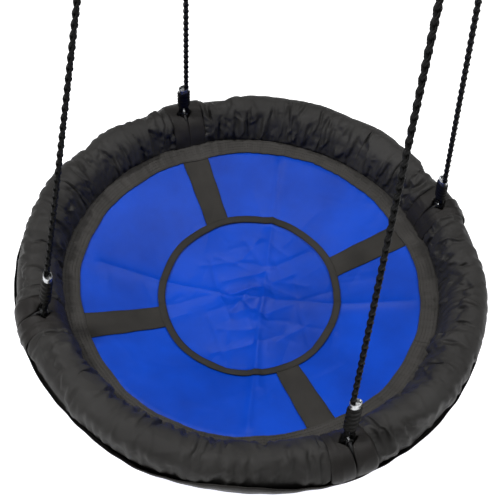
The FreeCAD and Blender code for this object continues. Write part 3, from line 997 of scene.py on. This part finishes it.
def cloth_finish(name, dark, light, pitch, roughness, by_uv=True, turn=0.0, bump=0.0004, drift=9.0,
                 shine=0.14, crumple=0.0, crumple_scale=26.0, gathered=0.0):
    """A woven cloth whose colour drifts between two shades, with a bump for its threads."""
    material, tree, shader = new_material(name, roughness)
    shader.inputs["Sheen Weight"].default_value = 0.0
    shader.inputs["Specular IOR Level"].default_value = shine
    source = add_node(tree, "ShaderNodeTexCoord")
    where = source.outputs["UV"] if by_uv else source.outputs["Object"]
    threads = weave(tree, where, pitch, turn)
    patches = add_node(tree, "ShaderNodeTexNoise",
                       [("Vector", source.outputs["Object"]), ("Scale", drift), ("Detail", 6.0),
                        ("Roughness", 0.6)]).outputs["Fac"]
    mix = add_node(tree, "ShaderNodeMath", [(0, threads), (1, 0.35)], operation="MULTIPLY")
    tone = add_node(tree, "ShaderNodeMath", [(0, mix.outputs[0]), (1, patches)], operation="ADD")
    colour = colour_ramp(tree, tone.outputs[0], [(0.35, linear(dark)), (0.95, linear(light))])
    tree.links.new(colour, shader.inputs["Base Color"])
    raised = add_node(tree, "ShaderNodeBump", [("Height", threads), ("Distance", bump), ("Strength", 0.6)])
    if crumple:
        ridges = add_node(tree, "ShaderNodeTexNoise",
                          [("Vector", source.outputs["Object"]), ("Scale", crumple_scale), ("Detail", 2.0),
                           ("Distortion", 0.6)],
                          noise_type="RIDGED_MULTIFRACTAL", normalize=False).outputs["Fac"]
        creased = add_node(tree, "ShaderNodeBump",
                           [("Height", ridges), ("Distance", crumple), ("Strength", 0.5)])
        if gathered:
            # narrow along the rim and long across it; the sharpest pleats are in the first 60 mm of cloth
            stretched = add_node(tree, "ShaderNodeMapping",
                                 [("Vector", source.outputs["UV"]), ("Scale", (8, 30, 1))])
            pleats = add_node(tree, "ShaderNodeTexNoise",
                              [("Vector", stretched.outputs["Vector"]), ("Scale", 1.0), ("Detail", 1.5),
                               ("Distortion", 0.9)],
                              noise_type="RIDGED_MULTIFRACTAL", normalize=False).outputs["Fac"]
            across = add_node(tree, "ShaderNodeSeparateXYZ", [("Vector", source.outputs["UV"])]).outputs["X"]
            fade = add_node(tree, "ShaderNodeMapRange",
                            [("Value", across), ("From Min", 0.06), ("From Max", 0.19), ("To Min", 1.0),
                             ("To Max", 0.15)]).outputs["Result"]
            height = add_node(tree, "ShaderNodeMath", [(0, pleats), (1, fade)], operation="MULTIPLY")
            pulled = add_node(tree, "ShaderNodeBump",
                              [("Height", height.outputs[0]), ("Distance", gathered), ("Strength", 0.7)])
            tree.links.new(pulled.outputs["Normal"], creased.inputs["Normal"])
        tree.links.new(creased.outputs["Normal"], raised.inputs["Normal"])
    tree.links.new(raised.outputs["Normal"], shader.inputs["Normal"])
    return material


FINISHES = {
    # dull coated polyester, greyer where light rakes it
    "black_oxford_cloth": cloth_finish("coated_oxford_polyester", "#1f1e1d", "#2f2d2c", 2.2 * MM, 0.42,
                                       shine=0.12, crumple=0.006),
    # the same polyester where it is gathered: sharp pleats that start at the hem and fade out
    "gathered_oxford_cloth": cloth_finish("gathered_oxford_polyester", "#222120", "#343332", 2.2 * MM, 0.55,
                                           shine=0.22, crumple=0.006, gathered=0.03),
    # the same cloth doubled and flattened by its rows of stitches, a little warmer
    "black_hem_cloth": cloth_finish("doubled_oxford_hem", "#292826", "#454341", 2.2 * MM, 0.6),
    # ribbed polypropylene webbing, with its ribs drawn coarser than real ones so that they show
    "black_webbing": cloth_finish("ribbed_polypropylene_webbing", "#22211f", "#393734", 1.8 * MM, 0.66,
                                  by_uv=False, turn=0.785),
    # strong royal blue with a diagonal weave, deeper where the cloth turns from the light;
    # its weave is drawn coarser than a real one so that it shows
    "blue_woven_cloth": cloth_finish("royal_blue_coated_canvas", "#022b86", "#0549c8", 2.4 * MM, 0.36,
                                     by_uv=False, turn=0.6, drift=5.0, shine=0.2, crumple=0.003,
                                      crumple_scale=14.0),
}


def rope_finish():
    """Black polyester yarn, with fine fibres across each strand."""
    material, tree, shader = new_material("black_polyester_braid", 0.6, Specular_IOR_Level=0.15)
    along = add_node(tree, "ShaderNodeAttribute", attribute_name="along_rope").outputs["Fac"]
    source = add_node(tree, "ShaderNodeTexCoord").outputs["Object"]
    fibres = add_node(tree, "ShaderNodeTexNoise",
                      [("Vector", source), ("Scale", 900.0), ("Detail", 3.0)]).outputs["Fac"]
    drift = add_node(tree, "ShaderNodeMath", [(0, along), (1, 37.0)], operation="MULTIPLY")
    wave = add_node(tree, "ShaderNodeMath", [(0, drift.outputs[0])], operation="SINE")
    tone = add_node(tree, "ShaderNodeMath", [(0, wave.outputs[0]), (1, 0.08), (2, fibres)],
                    operation="MULTIPLY_ADD")
    colour = colour_ramp(tree, tone.outputs[0], [(0.3, linear("#020202")), (0.75, linear("#0f0f0f"))])
    tree.links.new(colour, shader.inputs["Base Color"])
    raised = add_node(tree, "ShaderNodeBump", [("Height", fibres), ("Distance", 0.0003), ("Strength", 0.7)])
    tree.links.new(raised.outputs["Normal"], shader.inputs["Normal"])
    return material


FINISHES["black_braided_rope"] = rope_finish()

# %% [markdown]
# ## Metal, foam and sleeve finishes
# Zinc plating is bright with a cloudy grain, the ferrules are duller, and the tube's galvanising
# has a spangle. The clamp's sleeve is a smooth black plastic with scuffs on its ribs.

# %% Rigid finishes
def mottled(name, dark, light, scale, roughness, metallic, bump, shine=0.5):
    """A surface whose colour and gloss drift with one noise."""
    material, tree, shader = new_material(name, roughness, metallic, Specular_IOR_Level=shine)
    source = add_node(tree, "ShaderNodeTexCoord").outputs["Object"]
    clouds = add_node(tree, "ShaderNodeTexNoise",
                      [("Vector", source), ("Scale", scale), ("Detail", 5.0)]).outputs["Fac"]
    colour = colour_ramp(tree, clouds, [(0.35, linear(dark)), (0.7, linear(light))])
    tree.links.new(colour, shader.inputs["Base Color"])
    gloss = add_node(tree, "ShaderNodeMath", [(0, clouds), (1, 0.3), (2, roughness - 0.15)],
                     operation="MULTIPLY_ADD")
    tree.links.new(gloss.outputs[0], shader.inputs["Roughness"])
    raised = add_node(tree, "ShaderNodeBump", [("Height", clouds), ("Distance", bump), ("Strength", 0.5)])
    tree.links.new(raised.outputs["Normal"], shader.inputs["Normal"])
    return material


FINISHES.update({
    "galvanised_steel": mottled("spangled_galvanising", "#85888a", "#b9bcbe", 90.0, 0.42, 1.0, 0.0002),
    "zinc_screw": mottled("bright_zinc_screw", "#9a9a96", "#cfcfca", 300.0, 0.3, 1.0, 0.0001),
    "zinc_thimble": mottled("bright_zinc_thimble", "#a2a4a6", "#d4d6d8", 220.0, 0.3, 1.0, 0.0001),
    # the rings are painted near black: painted shade standing in for the shade of the collar slits that the
    # frame rings go into; the hang rings share the colour
    "welded_ring": mottled("steel_ring_painted_dark_for_shade", "#141414", "#2e2e2f", 180.0, 0.55, 0.6, 0.0001),
    "zinc_hook": mottled("polished_zinc_hook", "#a5a7a9", "#dcdee0", 140.0, 0.26, 1.0, 0.0001),
    "black_ferrule": mottled("scuffed_black_sleeve", "#0a0908", "#191817", 160.0, 0.6, 0.0, 0.0004, 0.15),
    "grey_foam": mottled("closed_cell_foam", "#33363a", "#4a4e52", 420.0, 0.95, 0.0, 0.0006),
})

# %% [markdown]
# ## Painting everything
# Each piece made here, and each piece of the frame that still shows, takes the finish of its slot.

# %% Paint
FRAME_SLOTS = {"frame_tube": "galvanised_steel", "frame_screws": "zinc_screw", "foam_sleeve": "grey_foam",
               "frame_ring": "welded_ring", "hang_ring": "welded_ring", "lower_thimble": "zinc_thimble",
               "upper_thimble": "zinc_thimble", "carabiner": "zinc_hook", "gate": "zinc_hook"}


def finish_name(piece):
    """The gathered covers have their own finish; a plain frame part goes by its name."""
    if piece.name.startswith("rim_cover_cloth"):
        return "gathered_oxford_cloth"
    by_name = (slot for start, slot in FRAME_SLOTS.items() if piece.name.startswith(start))
    return piece.get("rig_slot") or next(by_name)


painted = 0
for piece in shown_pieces():
    piece.data.materials.clear()
    piece.data.materials.append(FINISHES[finish_name(piece)])
    painted += 1
print("painted", painted, "pieces")
